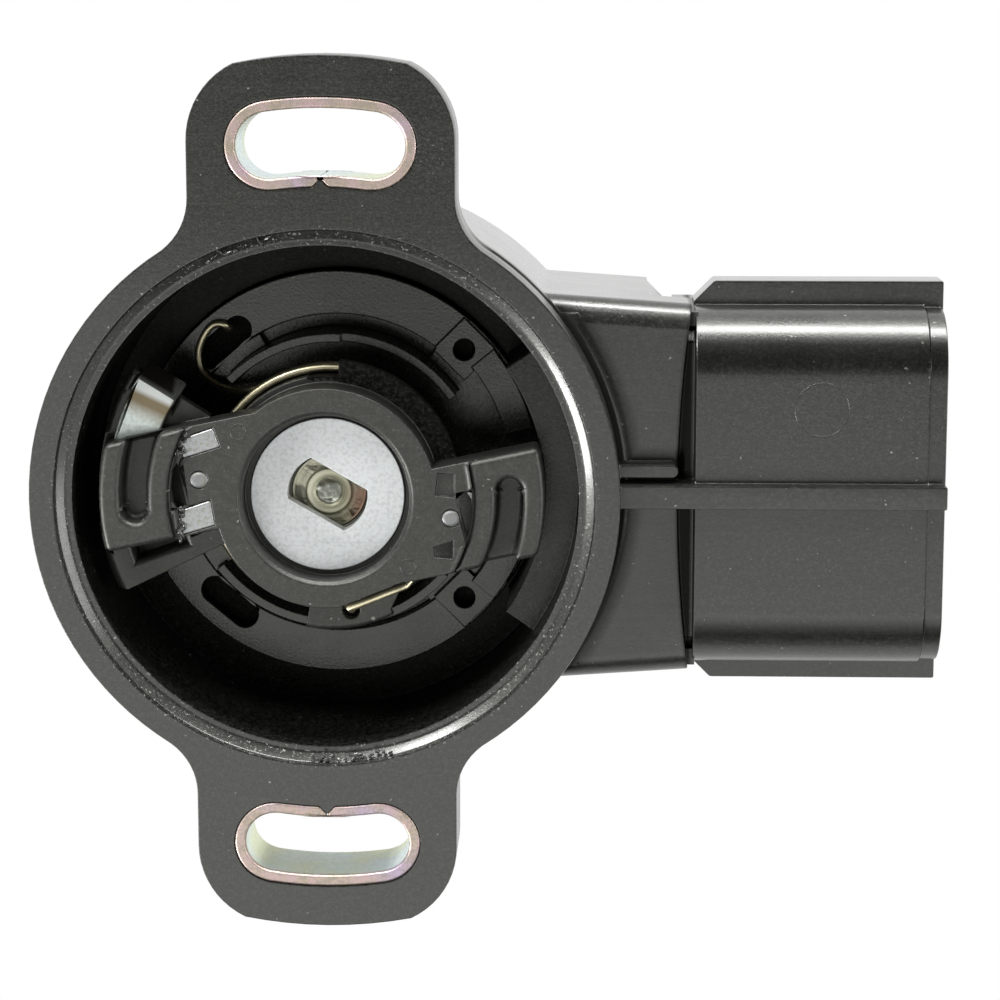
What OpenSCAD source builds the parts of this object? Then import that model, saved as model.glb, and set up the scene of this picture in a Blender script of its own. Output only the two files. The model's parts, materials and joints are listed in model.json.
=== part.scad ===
// Throttle position sensor: a moulded cup with two slotted ears and a side connector.
// A sprung rotor turns in the cup and carries the wipers over a resistor board behind it.
// The origin is on the rotor's axis in the mounting face, and +Z points out of the cup's mouth.

/* [Housing] */
// Radius of the cup's bore
cup_r = 18.2; // [17.6:0.05:20]
// Wall of the cup
cup_wall = 3; // [2.4:0.1:4]
// Depth of the cup's floor below the mounting face
cup_depth = 14; // [13.6:0.1:18]
// Step from the cup's bore out to the shallow pilot bore at the mouth
pilot_step = 1.2; // [1:0.05:1.6]
// Depth of the pilot bore
pilot_depth = 0.4; // [0.2:0.05:0.45]
// Height of the chamfer that leads from the pilot bore to the ledge under it
mouth_chamfer = 0.5; // [0.3:0.05:0.5]
// Width of that chamfer
mouth_chamfer_w = 0.7; // [0.3:0.05:0.85]
// Width of the ledge on the connector side of the cup
ledge_w = 2.5; // [1.5:0.1:3]
// Depth of the ledge's top
ledge_depth = 4.9; // [4.8:0.1:8]
// Angle that the ledge covers
ledge_angle = 70; // [30:1:76]

/* [Ears] */
// Plastic beside each end of a slot
ear_side = 2.65; // [2:0.05:4]
// Plastic between a slot and the ear's tip
ear_end = 2.9; // [2:0.05:5]
// Corner radius at an ear's tip
ear_corner_r = 6; // [3:0.1:8]
// Thickness of the ears
ear_t = 6; // [4:0.1:9]
// Radius of the fillet between an ear and the body
ear_fillet_r = 4.6; // [2:0.1:6]

/* [Slot bushings] */
// Distance from the body's side to the slots' centre line
slot_offset = 4.35; // [4:0.05:6]
// Clear width of the upper slot
slot_w = 4.7; // [4.2:0.1:5.2]
// Clear width of the lower slot, which lets the part be turned but not moved
lower_slot_w = 4.4; // [4.2:0.1:5.2]
// Clear length of a slot, along its chord
slot_l = 12; // [9:0.1:13]
// Wall of the rolled steel bushing
bushing_wall = 0.8; // [0.5:0.05:1]
// Width of the seam in the bushing
seam_w = 0.08; // [0.04:0.02:0.5]
// Depth of the notch where the bushing's ends meet
seam_notch = 0.6; // [0.3:0.05:0.7]

/* [Neck and connector] */
// How far each side of the neck stands out past the shroud
neck_over = 0.45; // [0.2:0.05:1]
// Length of the neck from the body's side to its end
neck_l = 4.2; // [3.6:0.1:7]
// Angle that each side of the neck widens by towards the body
neck_taper = 4; // [1:0.5:6]
// Corner radius along the neck's front edges
neck_edge_r = 1.8; // [0.5:0.1:3]
// Radius of the hollow curve at the neck's end
neck_end_r = 100; // [60:5:200]
// Depth of the neck's top face
neck_top = 5; // [4.6:0.1:8]
// Width of the groove between the neck and the shroud
groove_w = 1.2; // [0.9:0.1:2]
// Step of that groove below the shroud's faces
groove_step = 0.7; // [0.3:0.1:1]
// Half width of the shroud
shroud_half_w = 13.2; // [13:0.1:14]
// Depth of the shroud's front face
shroud_top = 3.7; // [3.2:0.1:4]
// Height of the shroud
shroud_h = 15.6; // [15.2:0.1:17]
// Length of the shroud
shroud_l = 18.1; // [16:0.1:24]
// Corner radius of the shroud
shroud_corner_r = 4.5; // [2:0.1:5]
// Wall of the shroud
shroud_wall = 1.9; // [1.4:0.1:2.4]
// Depth of the socket
socket_l = 13.8; // [10:0.1:14]
// How far the side flanges stand out from the shroud
flange_out = 1.75; // [1:0.05:2.4]
// How far the side flanges run past the shroud's mouth
flange_past = 0.2; // [0:0.05:0.4]
// Length of the corner cut off each side flange
flange_corner = 1.5; // [0.5:0.1:1.7]
// Thickness of the side flanges
flange_t = 3.6; // [2:0.1:5]
// Length of the lip round the shroud's mouth
lip_l = 1.3; // [0.5:0.1:3]
// Step of that lip below the shroud's faces
lip_step = 0.15; // [0.05:0.05:0.4]
// Width of the central rib
rib_w = 1.7; // [1:0.1:3]
// Height of the central rib over the shroud
rib_h = 1.3; // [0.5:0.1:2]

/* [Terminals] */
// Distance between neighbouring terminals
terminal_pitch = 4.8; // [4.2:0.1:5.2]
// Width of a terminal
terminal_w = 2.2; // [1.5:0.1:3]
// Thickness of a terminal
terminal_t = 0.8; // [0.5:0.05:1]
// Gap from a terminal's tip to the socket's mouth
terminal_inset = 3.4; // [2:0.1:6]

/* [Rotor] */
// Depth of the rotor's top face
rotor_top = 1; // [0.9:0.02:1.3]
// Rise of the wings' bands over the hub's face
band_rise = 0.35; // [0.1:0.05:0.6]
// Radius of the hub
hub_r = 8; // [7.6:0.05:9]
// Wall of the hub round the hole
hub_wall = 1.95; // [1.5:0.05:2.4]
// Step out to the hub's lower skirt
skirt_step = 0.5; // [0.2:0.05:0.8]
// Gap between the left wing and the cup
wing_gap = 1.9; // [1.2:0.1:3]
// How much shorter the right wing is
wing_short = 0.5; // [0:0.05:1.5]
// Thickness of the wings
wing_t = 3.3; // [2.9:0.1:3.5]
// Angle of the wings' edges to the connector's direction
wing_tilt = 12; // [8:0.5:16]
// Width of a wing's slot
wing_slot_w = 1.95; // [1.4:0.05:2.2]
// Plastic outside a wing's slot
wing_rim = 1.55; // [1:0.05:2]
// Width of the band inside a wing's slot
band_w = 1.7; // [1:0.05:2]
// Depth of the recess at a wing's root
wing_recess_depth = 0.9; // [0.3:0.05:1.1]
// Depth of a wing's slot
wing_slot_depth = 1.6; // [1:0.05:1.7]
// Gap between the stop arm and the cup
arm_gap = 1.5; // [0.8:0.05:2.2]
// Travel of the rotor from its rest stop
rotor_travel = 100; // [60:1:104]

/* [Drive plate and shaft] */
// Ledge in the hub that the drive plate's edge is set into
plate_ledge = 0.45; // [0.2:0.05:0.8]
// Thickness of the drive plate
plate_t = 1.2; // [0.8:0.05:1.5]
// Depth of the drive plate below the hub's top
plate_depth = 2.1; // [1.5:0.05:2.2]
// Length of the double-D hole
dd_l = 5.8; // [4.4:0.1:6]
// Width of the double-D hole across its flats
dd_w = 3.4; // [2.6:0.1:4]
// Angle of the double-D hole
dd_angle = -30; // [-60:5:60]
// Radius of the shaft
shaft_r = 2; // [1.7:0.05:2.1]
// Radius of the shaft's head
shaft_head_r = 2.75; // [2.6:0.05:3]
// Radial running clearance of the shaft
shaft_clear = 0.04; // [0.02:0.01:0.1]

/* [Return spring] */
// Diameter of the spring's wire
wire_d = 0.6; // [0.4:0.05:0.6]
// Gap between the coil and the skirt
coil_gap = 0.1; // [0.05:0.05:0.5]
// Full turns of the coil
coil_turns = 2; // [1:1:5]
// Rise of the coil in one turn
coil_pitch = 0.7; // [0.65:0.05:1.4]
// Gap between the spring and what it lies on
wire_clear = 0.04; // [0.02:0.01:0.1]

/* [Stator base] */
// Ledge's overhang round the stator base
base_margin = 0.35; // [0.1:0.05:1]
// Height of the stator base's top face over the cup's floor
base_stand = 1.5; // [1:0.05:1.8]
// Thickness of the stator base
base_t = 3; // [2.6:0.1:3.2]
// Gap around the stator base in its seat
base_gap = 0.05; // [0.02:0.01:0.1]
// Width of the raised edge of the base's face
base_edge_w = 3.25; // [2.5:0.05:3.6]
// Depth of that step
base_step = 0.3; // [0.2:0.05:0.5]
// Gap between the coil and the rib round it
rib_gap = 1.2; // [0.9:0.05:1.5]
// Thickness of that rib
spring_rib_t = 0.7; // [0.5:0.05:1]
// Height of that rib over the base
spring_rib_h = 3.9; // [2:0.1:4.2]
// Depth of the groove outside that rib
rib_groove = 1.1; // [0.5:0.1:1.4]
// Wall of the bearing bush
bush_wall = 1.5; // [1:0.05:1.8]

/* [Sensor chamber] */
// Width of the seat under the stator base's edge
base_seat_w = 2.95; // [2:0.05:3.5]
// Depth of the chamber between the base and the resistor board
chamber_h = 5; // [4.4:0.1:8]
// Width of the seat under the resistor board's edge
board_seat_w = 1.4; // [0.8:0.1:2]
// Thickness of the resistor board
board_t = 1; // [0.6:0.05:1.2]
// Thickness of the printed tracks
track_t = 0.1; // [0.05:0.01:0.2]
// Room behind the resistor board for the terminals' feet
cover_gap = 1.5; // [1:0.05:2.5]
// Thickness of the back cover
cover_t = 1.2; // [0.8:0.05:1.2]
// Depth of the recess for the back cover
cover_recess = 1.4; // [1.3:0.05:2]
// Width of the seat under the back cover's edge
cover_seat_w = 1.2; // [0.8:0.1:2]
// Width of the potting round the cover
potting_w = 1.8; // [1:0.1:2.5]

/* [Hidden] */
$fn = 64;

// Overlap that cuts run past a face with
e = 1;

// Radii from the cup outwards
pilot_r = cup_r + pilot_step;
body_r = cup_r + cup_wall;
slot_r = body_r + slot_offset;
ear_half_w = slot_l / 2 + bushing_wall + ear_side;
ear_tip = slot_r + slot_w / 2 + bushing_wall + ear_end;

// Radii from the cup inwards
ledge_r = cup_r - ledge_w;
base_r = ledge_r - base_margin;
base_step_r = base_r - base_edge_w;
wing_r = cup_r - wing_gap;
arm_r = cup_r - arm_gap;
wing_slot_r = wing_r - wing_rim - wing_slot_w;
wing_root = wing_slot_r - band_w;

// Radii from the axis outwards
hub_hole_r = hub_r - hub_wall;
plate_r = hub_hole_r - plate_ledge;
skirt_r = hub_r + skirt_step;
coil_r = skirt_r + coil_gap + wire_d / 2;
spring_rib_r = coil_r + wire_d / 2 + rib_gap;
rib_outer_r = spring_rib_r + spring_rib_t;
bush_r = shaft_r + bush_wall;

// Places along the axis
base_top = cup_depth - base_stand;
base_bottom = base_top + base_t;
board_depth = base_bottom + chamber_h;
board_back = board_depth + board_t;
cover_seat = board_back + cover_gap;
body_h = cover_seat + cover_recess;
wing_bottom = rotor_top + wing_t;

// Radii in the back of the housing
chamber_r = base_r - base_seat_w;
board_r = chamber_r + board_seat_w;
cover_r = board_r + cover_seat_w;
potting_r = cover_r + potting_w;
plate_top = rotor_top + plate_depth;
plate_bottom = plate_top + plate_t;
hub_bottom = base_top - 0.6;
washer_t = 0.5;
base_floor = base_top + base_step;

// Places along the connector
neck_half_w = shroud_half_w + neck_over;
neck_x = body_r + neck_l;
shroud_x = neck_x + groove_w;
shroud_end = shroud_x + shroud_l;
shroud_mid = shroud_top + shroud_h / 2;
neck_corner = 3;
neck_corner_top = 10.5;
neck_foot = 0.4;
groove_floor = 0.5;
neck_h = body_h - neck_foot - neck_top;
blade_depth = shroud_mid;
blade_tip = shroud_end - terminal_inset;
riser_x = neck_x - 2.2;
terminal_inner_x = 8;

// Half angle between the centres of a slot's ends, and the hair by which the ends are narrower
function slot_end(w) = asin((slot_l / 2 - w / 2) / slot_r);
slot_end_step = 0.02;

// Angle by which an ear's fillet ends before it would only touch the round body
fillet_end_turn = 0.8;

// Rest angles of the rotor's features
arm_start = 195;
arm_end = 206;
arm_bar_start = 199.5;
arm_top = 3;
arm_depth = 7;
lug_top = 4.1;
lug_t = 1;
lug_r = coil_r + 1.4;
collar_r = coil_r + 0.8;
skirt_top = lug_top + 0.3;

// Steel insert in the rotor
insert_top = rotor_top + wing_slot_depth + 0.3;
insert_t = 1;
tang_in = wing_r - 3.4;
tang_out = wing_r - 0.3;
tang_end = 147;
tang_drop = 2;
tang_run = 1.1;
wing_low = -7.15;
wing_high = 0.6;
rivet_r = 0.65;
rivet_x = hub_r + 1.05;
rivet_y = -1.35;
rivet_proud = 0.05;

// Spring coil
coil_start = 125;
coil_end = -42;
hook_gap = 136;
coil_sweep = 360 * coil_turns + coil_start - coil_end;
coil_high = lug_top + lug_t + 0.2 + wire_d / 2;
coil_low = coil_high + coil_pitch * coil_sweep / 360;
run_z = lug_top - wire_d / 2 - wire_clear;

// Wipers
carrier_top = base_bottom + 1.1;
carrier_t = 2.2;
carrier_bottom = carrier_top + carrier_t;
shaft_end = carrier_bottom + 0.4;
clip_top = base_bottom + 0.2;
clip_t = 0.5;
clip_r = 3.6;
clip_groove_r = shaft_r - 0.4;
track_room = chamber_r - bush_r;
signal_r = bush_r + 0.69 * track_room;
collector_r = bush_r + 0.35 * track_room;
track_past = 8;
track_w = 1.6;
signal_rest = 110;
idle_rest = 300;
wiper_gap = 0.08;

// Places a shape that is drawn from its top depth downwards
module down(top, bottom) {
    translate([0, 0, -bottom])
        linear_extrude(bottom - top)
            children();
}

// A ring lying in the XY plane
module ring(outer, inner) {
    difference() {
        circle(r = outer, $fn = 96);
        circle(r = inner, $fn = 96);
    }
}

// A wedge from the axis between two angles that are under 180 degrees apart
module wedge(from, to, reach = 60) {
    mid = (from + to) / 2;
    far = reach / cos((to - from) / 4);
    polygon([
        [0, 0],
        [far * cos(from), far * sin(from)],
        [far * cos(mid), far * sin(mid)],
        [far * cos(to), far * sin(to)]
    ]);
}

// Part of a ring between two angles
module arc(outer, inner, from, to) {
    intersection() {
        ring(outer, inner);
        wedge(from, to);
    }
}

// A rectangle with round corners
module round_rect(w, h, r) {
    square([w - 2 * r, h], center = true);
    square([w, h - 2 * r], center = true);
    for (x = [-1, 1])
        for (y = [-1, 1])
            translate([x * (w / 2 - r), y * (h / 2 - r)])
                circle(r = r, $fn = 48);
}

// A slot that follows the circle of the mounting screws, with round ends, on the +Y side
module arc_slot(w, wall = 0) {
    outer = w + 2 * wall;
    swing = slot_end(w);
    arc(slot_r + outer / 2, slot_r - outer / 2, 90 - swing, 90 + swing);
    for (a = [90 - swing, 90 + swing])
        rotate(a)
            translate([slot_r, 0])
                circle(d = outer - 2 * slot_end_step, $fn = 64);
}

// Outside of a bushing, with the notch where its ends meet
module bushing_outline(w) {
    inner = slot_r - w / 2 - bushing_wall;
    difference() {
        arc_slot(w, bushing_wall);
        polygon([
            [-seam_notch, inner - e],
            [-seam_notch, inner],
            [0, inner + seam_notch],
            [seam_notch, inner],
            [seam_notch, inner - e]
        ]);
    }
}

// Outline of one ear on the +Y side, with the fillets that run into the round body
module ear_outline() {
    square_top = ear_tip - ear_corner_r;
    fillet_x = ear_half_w + ear_fillet_r;
    fillet_y = sqrt(pow(body_r + ear_fillet_r, 2) - pow(fillet_x, 2));
    touch = atan2(fillet_y, fillet_x) + fillet_end_turn;
    touch_r = body_r - slot_end_step;
    intersection() {
        union() {
            translate([-ear_half_w, 0])
                square([2 * ear_half_w, square_top]);
            translate([-ear_half_w + ear_corner_r, 0])
                square([2 * (ear_half_w - ear_corner_r), ear_tip]);
            for (side = [-1, 1])
                translate([side * (ear_half_w - ear_corner_r), square_top])
                    circle(r = ear_corner_r);
        }
        circle(r = ear_tip - slot_end_step, $fn = 128);
    }
    for (side = [-1, 1])
        difference() {
            polygon([
                [side * (ear_half_w - 1), 0.7 * fillet_y],
                [side * (ear_half_w - 1), fillet_y],
                [side * fillet_x, fillet_y],
                [side * touch_r * cos(touch), touch_r * sin(touch)]
            ]);
            translate([side * fillet_x, fillet_y])
                circle(r = ear_fillet_r);
        }
}

// Section of the shroud across the connector: X of the section is the object's Y
module shroud_section(inset) {
    translate([0, -shroud_mid])
        round_rect(2 * (shroud_half_w - inset), shroud_h - 2 * inset, shroud_corner_r);
}

// Stands a section up so that it runs along +X from one place to another
module along_x(from, to) {
    translate([from, 0, 0])
        rotate([90, 0, 90])
            linear_extrude(to - from)
                children();
}

// Round body, ears and neck before anything is cut
module housing_outside() {
    down(0, ear_t) {
        circle(r = body_r, $fn = 128);
        ear_outline();
        rotate(180)
            ear_outline();
    }
    translate([0, 0, -body_h])
        rotate_extrude($fn = 128)
            polygon([[0, 0], [body_r - 0.8, 0], [body_r, 0.8], [body_r, body_h], [0, body_h]]);
    neck();
}

// Section of the neck, wide enough to be cut to its taper from both sides
module neck_side() {
    reach = neck_half_w * cos(neck_taper) + neck_x * sin(neck_taper);
    along_x(0, neck_x + neck_half_w) {
        translate([-reach, -neck_top - neck_h])
            square([reach + 2 * body_r, neck_h - neck_edge_r]);
        translate([-reach + neck_edge_r, -neck_top - neck_h])
            square([reach + 2 * body_r, neck_h]);
        translate([-reach + neck_edge_r, -neck_top - neck_edge_r])
            circle(r = neck_edge_r);
    }
}

// Neck that widens towards the body, with a hollow end and a small web where it meets the body
module neck() {
    end_r = neck_end_r;
    difference() {
        intersection() {
            rotate(neck_taper)
                neck_side();
            mirror([0, 1, 0])
                rotate(neck_taper)
                    neck_side();
        }
        translate([neck_x + end_r, 0, -body_h - e])
            cylinder(h = body_h + 2 * e, r = end_r, $fn = 256);
        for (side = [-1, 1])
            translate([neck_x, side * neck_half_w, -body_h - neck_corner_top])
                rotate(45)
                    cube([neck_corner, neck_corner, 2 * body_h], center = true);
    }
    intersection() {
        rotate_extrude($fn = 128)
            polygon([
                [body_r - e, -neck_top - e],
                [body_r + 1.1, -neck_top - e],
                [body_r + 1.1, -neck_top],
                [body_r + 0.5, -neck_top + 0.15],
                [body_r + 0.15, -neck_top + 0.5],
                [body_r - 0.01, -neck_top + 1.1],
                [body_r - e, -neck_top + 1.1]
            ]);
        translate([0, -neck_half_w + 0.6, -body_h / 2])
            cube([neck_x, 2 * neck_half_w - 1.2, body_h]);
    }
}

// Connector shroud with its side flanges and the ribs along its front
module connector_outside() {
    along_x(neck_x - e, shroud_x + e)
        intersection() {
            shroud_section(groove_step);
            translate([-body_r, -body_h])
                square([2 * body_r, body_h - neck_top - groove_floor]);
        }
    along_x(shroud_x, shroud_end - lip_l)
        shroud_section(0);
    along_x(shroud_x + e, shroud_end)
        shroud_section(lip_step);
    flange_w = shroud_half_w + flange_out;
    down(shroud_mid - flange_t / 2, shroud_mid + flange_t / 2)
        polygon([
            [shroud_x, -flange_w + flange_corner],
            [shroud_x + flange_corner, -flange_w],
            [shroud_end + flange_past, -flange_w],
            [shroud_end + flange_past, flange_w],
            [shroud_x + flange_corner, flange_w],
            [shroud_x, flange_w - flange_corner]
        ]);
    translate([body_r - e, -rib_w / 2, -neck_top - e])
        cube([shroud_end - body_r + e, rib_w, neck_top + e - shroud_top + rib_h]);
    down(shroud_top - 0.4, neck_top + e) {
        translate([body_r - e, rib_w / 2 + 0.4])
            square([neck_x - body_r + e - 0.5, 1]);
        translate([neck_x - 0.5, rib_w / 2 + 0.9])
            circle(r = 0.5, $fn = 32);
    }
}

// Everything that is hollow in the front of the housing
module cup_hollow() {
    translate([0, 0, -pilot_depth])
        cylinder(h = pilot_depth + e, r = pilot_r, $fn = 128);
    translate([0, 0, -pilot_depth - mouth_chamfer])
        cylinder(h = mouth_chamfer, r1 = pilot_r - mouth_chamfer_w, r2 = pilot_r, $fn = 128);
    difference() {
        translate([0, 0, -cup_depth])
            cylinder(h = cup_depth, r = cup_r, $fn = 128);
        down(ledge_depth, cup_depth + e)
            arc(cup_r + 2, ledge_r, -ledge_angle / 2, ledge_angle / 2);
    }
    down(ledge_depth, base_bottom)
        circle(r = base_r + base_gap, $fn = 128);
}

// Everything that is hollow in the back of the housing
module chamber_hollow() {
    down(base_bottom - e, board_depth)
        circle(r = chamber_r, $fn = 96);
    down(board_depth, cover_seat)
        circle(r = board_r + base_gap, $fn = 96);
    down(cover_seat, body_h + e)
        circle(r = potting_r, $fn = 96);
}

// Socket in the connector, with a key groove along its front wall
module socket_hollow() {
    along_x(shroud_end - socket_l, shroud_end + e) {
        translate([0, -shroud_mid])
            round_rect(2 * (shroud_half_w - shroud_wall), shroud_h - 2 * shroud_wall, 2);
        translate([-2.2, -shroud_top - shroud_wall])
            square([4.4, 0.8]);
    }
}

module housing() {
    color([0.16, 0.16, 0.16])
        difference() {
            union() {
                housing_outside();
                connector_outside();
            }
            cup_hollow();
            chamber_hollow();
            socket_hollow();
            for (turn = [0, 180])
                rotate(turn)
                    down(-e, ear_t + e)
                        bushing_outline(turn == 0 ? slot_w : lower_slot_w);
            for (i = [0 : 3])
                terminal_shape(i);
        }
}

// Rolled steel bushing that lines one ear slot, with its seam on the side of the axis
module slot_bushing(w) {
    color([0.8, 0.72, 0.7])
        difference() {
            down(0, ear_t)
                bushing_outline(w);
            down(-e, ear_t + e)
                arc_slot(w);
            translate([-seam_w / 2, 0, -ear_t - e])
                cube([seam_w, slot_r, ear_t + 2 * e]);
        }
}

module upper_slot_bushing() {
    slot_bushing(slot_w);
}

module lower_slot_bushing() {
    rotate(180)
        slot_bushing(lower_slot_w);
}

// Long round pocket beside the rib, where the spring's hook is caught
module hook_pocket(angle) {
    rotate(angle)
        translate([base_step_r + 1, 0]) {
            square([2, 3], center = true);
            for (y = [-1.5, 1.5])
                translate([0, y])
                    circle(r = 1);
        }
}

// Rib that stands round the spring, with a way out for the hook on the left
module spring_rib() {
    rib_top = base_top - spring_rib_h;
    outer = rib_outer_r;
    down(rib_top, base_floor + e)
        arc(outer, spring_rib_r, 87, hook_gap);
    down(rib_top + 0.8, base_floor + e)
        arc(outer, spring_rib_r, 35, 88);
    down(rib_top, base_floor + e)
        arc(outer, spring_rib_r, 217, 320);
    down(rib_top + 1.2, base_floor + e)
        arc(outer + 0.4, coil_r + wire_d + 0.2, 208, 218);
    down(rib_top + 2.2, base_floor + e)
        arc(outer + 0.4, coil_r + wire_d + 0.2, 201, 209);
}

module stator_base() {
    tab_r = base_step_r + 1.35;
    tab_w = 3.3;
    edge_in = base_step_r + 0.9;
    color([0.13, 0.13, 0.13])
        difference() {
            union() {
                down(base_floor, base_bottom)
                    circle(r = base_r, $fn = 96);
                down(base_top, base_floor + e)
                    difference() {
                        circle(r = base_r, $fn = 96);
                        circle(r = base_step_r, $fn = 96);
                        wedge(-49.5, 49.5);
                    }
                down(base_top - 0.6, base_floor + e)
                    for (start = [14, -39])
                        arc(base_r - 0.2, edge_in, start, start + 25);
                down(base_top, base_floor + e)
                    circle(r = bush_r + 1.9);
                for (side = [-1, 1])
                    rotate(side * 44.8)
                        translate([tab_r - tab_w / 2, -tab_w / 2, -base_floor - e])
                            cube([tab_w, tab_w, base_step + e + 0.4]);
                spring_rib();
            }
            down(base_top - e, base_bottom + e)
                circle(r = bush_r);
            down(base_top - e, base_floor + rib_groove)
                for (span = [[52, 119], [143, 217], [242, 305]])
                    arc(base_step_r, rib_outer_r, span[0], span[1]);
            for (side = [-1, 1])
                rotate(side * 44.8)
                    translate([tab_r, 0, -base_floor - 1])
                        cylinder(h = 4, r = 0.8, $fn = 32);
            down(base_top - e, base_top + 1.9)
                for (angle = [131, 230])
                    hook_pocket(angle);
        }
}

// Plain sleeve pressed into the stator base
module bearing_bush() {
    color([0.72, 0.6, 0.38])
        down(base_top, base_bottom)
            ring(bush_r, shaft_r + shaft_clear);
}

// Points along the spring's wire, from the hook in the base to the end over the rotor's lug
hook_z = base_top - wire_d / 2 - wire_clear;
hook_points = [
    [-8.2, 10.95, -base_top - 0.7],
    [-8.22, 10.98, -base_top + 0.1],
    [-8.5, 11.3, -hook_z + 0.05],
    [-9.2, 11.3, -hook_z],
    [-9.8, 10.75, -hook_z],
    [-10.3, 9.75, -hook_z],
    [-10.45, 8.8, -hook_z],
    [-10.25, 7.9, -hook_z + 0.05],
    [-9.65, 7.25, -hook_z + 0.5],
    [-8.8, 6.85, -hook_z + 1.4],
    [-7.6, 6.7, -hook_z + 2.8],
    [-6.5, 6.85, -hook_z + 3.9]
];
coil_steps = ceil(coil_sweep / 12);
coil_points = [
    for (i = [0 : coil_steps])
        let (a = coil_start - coil_sweep * i / coil_steps, t = i / coil_steps)
            [coil_r * cos(a), coil_r * sin(a), -coil_low + (coil_low - coil_high) * t]
];
run_from = [5.6, -6.87, -run_z];
run_to = [1.85, -8.4, -run_z];
run_points = [
    run_from,
    run_to,
    [run_to[0] - 0.2, run_to[1] - 0.15, -run_z - 0.2],
    [run_to[0] - 0.3, run_to[1] - 0.45, -lug_top - 0.5]
];
wire_points = concat(hook_points, coil_points, run_points);

// Sweeps a round section along a list of points as one closed solid
function unit(v) = v / norm(v);
function heading(p, i) = unit(p[min(i + 1, len(p) - 1)] - p[max(i - 1, 0)]);
function side_of(t) = abs(t[2]) > 0.8 ? unit(cross(t, [0, 1, 0])) : unit(cross(t, [0, 0, 1]));
function frames(p, i = 0, last = undef) =
    i == len(p) ? [] :
    let (t = heading(p, i), s = i == 0 ? side_of(t) : unit(last - t * (last * t)))
        concat([[s, cross(t, s)]], frames(p, i + 1, s));

module wire(p, d, sides = 8) {
    f = frames(p);
    n = len(p);
    points = [
        for (i = [0 : n - 1])
            for (k = [0 : sides - 1])
                let (a = 360 * k / sides)
                    p[i] + d / 2 * (cos(a) * f[i][0] + sin(a) * f[i][1])
    ];
    walls = [
        for (i = [0 : n - 2])
            for (k = [0 : sides - 1])
                let (a = i * sides + k, b = i * sides + (k + 1) % sides)
                    each [[a, b, b + sides], [a, b + sides, a + sides]]
    ];
    start = [for (k = [0 : sides - 1]) sides - 1 - k];
    finish = [for (k = [0 : sides - 1]) (n - 1) * sides + k];
    polyhedron(points, concat(walls, [start], [finish]));
}

module return_spring() {
    color([0.78, 0.74, 0.58])
        wire(wire_points, wire_d);
}

// Outline of one wing, drawn towards +X before it is tilted
module wing_outline(outer, inner = 0) {
    intersection() {
        ring(outer, inner);
        translate([0, wing_low])
            square([2 * outer, wing_high - wing_low]);
    }
}

// Arc slot in a wing, open on the side that leads and round at its other end
module wing_slot(shift) {
    mid = wing_slot_r - shift + wing_slot_w / 2;
    end = asin(-2.1 / mid);
    arc(mid + wing_slot_w / 2, mid - wing_slot_w / 2, -60, end);
    rotate(end)
        translate([mid, 0])
            circle(d = wing_slot_w - slot_end_step, $fn = 32);
}

// A wing with its raised band, and the shift that makes it shorter
module wing(shift) {
    down(rotor_top, wing_bottom)
        wing_outline(wing_r - shift);
    down(rotor_top - band_rise, rotor_top + e)
        wing_outline(wing_r - shift, wing_root - shift);
}

// Each wing's place, and how much shorter than the left one it is
module each_wing() {
    for (i = [0, 1])
        rotate(180 * i + wing_tilt) {
            $shift = i == 0 ? wing_short : 0;
            children();
        }
}

// Sloping recess between a wing's band and the hub, which leaves the rivet's head standing
module wing_recess(shift) {
    depth = wing_recess_depth;
    translate([wing_root - shift - 0.05, wing_low + 2.1, -rotor_top])
        rotate([90, 0, 0])
            mirror([0, 0, 1])
                linear_extrude(3.5)
                    polygon([[0, 0.1], [0, -depth], [-0.4, -depth], [-1.35, 0.1]]);
}

// Lug under the hub's edge that carries the spring's end
module lug_outline() {
    difference() {
        union() {
            arc(lug_r, hub_r - e, -100, -63);
            arc(collar_r, hub_r - e, -35, 85);
            polygon([[0, -5], [4.2, -9.3], [5.45, -6.7], [5, -4]]);
        }
        translate([run_to[0] - 0.3, run_to[1] - 0.4])
            circle(r = 0.65, $fn = 32);
    }
}

module rotor_outside() {
    down(rotor_top, hub_bottom)
        circle(r = hub_r, $fn = 96);
    down(skirt_top, hub_bottom)
        circle(r = skirt_r, $fn = 96);
    each_wing()
        wing($shift);
    down(lug_top, lug_top + lug_t)
        lug_outline();
    down(arm_top, wing_bottom)
        arc(arm_r, hub_r - e, arm_start - 6, arm_end);
    down(wing_bottom - e, arm_depth)
        arc(arm_r, spring_rib_r - 0.2, arm_start, arm_end);
    down(insert_top + insert_t, wing_bottom + 0.9)
        arc(arm_r + 0.1, spring_rib_r - 0.2, tang_end, arm_end);
}

module rotor() {
    color([0.17, 0.17, 0.17])
        difference() {
            rotor_outside();
            down(rotor_top - e, plate_top + 0.3)
                circle(r = hub_hole_r);
            down(rotor_top - e, plate_bottom)
                circle(r = plate_r);
            translate([0, 0, -rotor_top - 0.3])
                cylinder(h = 0.31, r1 = hub_hole_r, r2 = hub_hole_r + 0.3);
            down(plate_bottom - e, plate_bottom + 1.7)
                circle(r = shaft_head_r);
            down(plate_bottom, hub_bottom + e)
                circle(r = shaft_r);
            down(rotor_top - e, rotor_top + wing_slot_depth)
                each_wing()
                    wing_slot($shift);
            down(arm_top - e, arm_top + 2.6)
                arc(arm_r - 1.8, spring_rib_r + 0.5, arm_start + 0.6, arm_bar_start);
            lever_insert_shape();
            for (turn = [0, 180])
                rotate(turn)
                    rivet_shape(rotor_top - e);
            each_wing()
                wing_recess($shift);
        }
}

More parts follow.
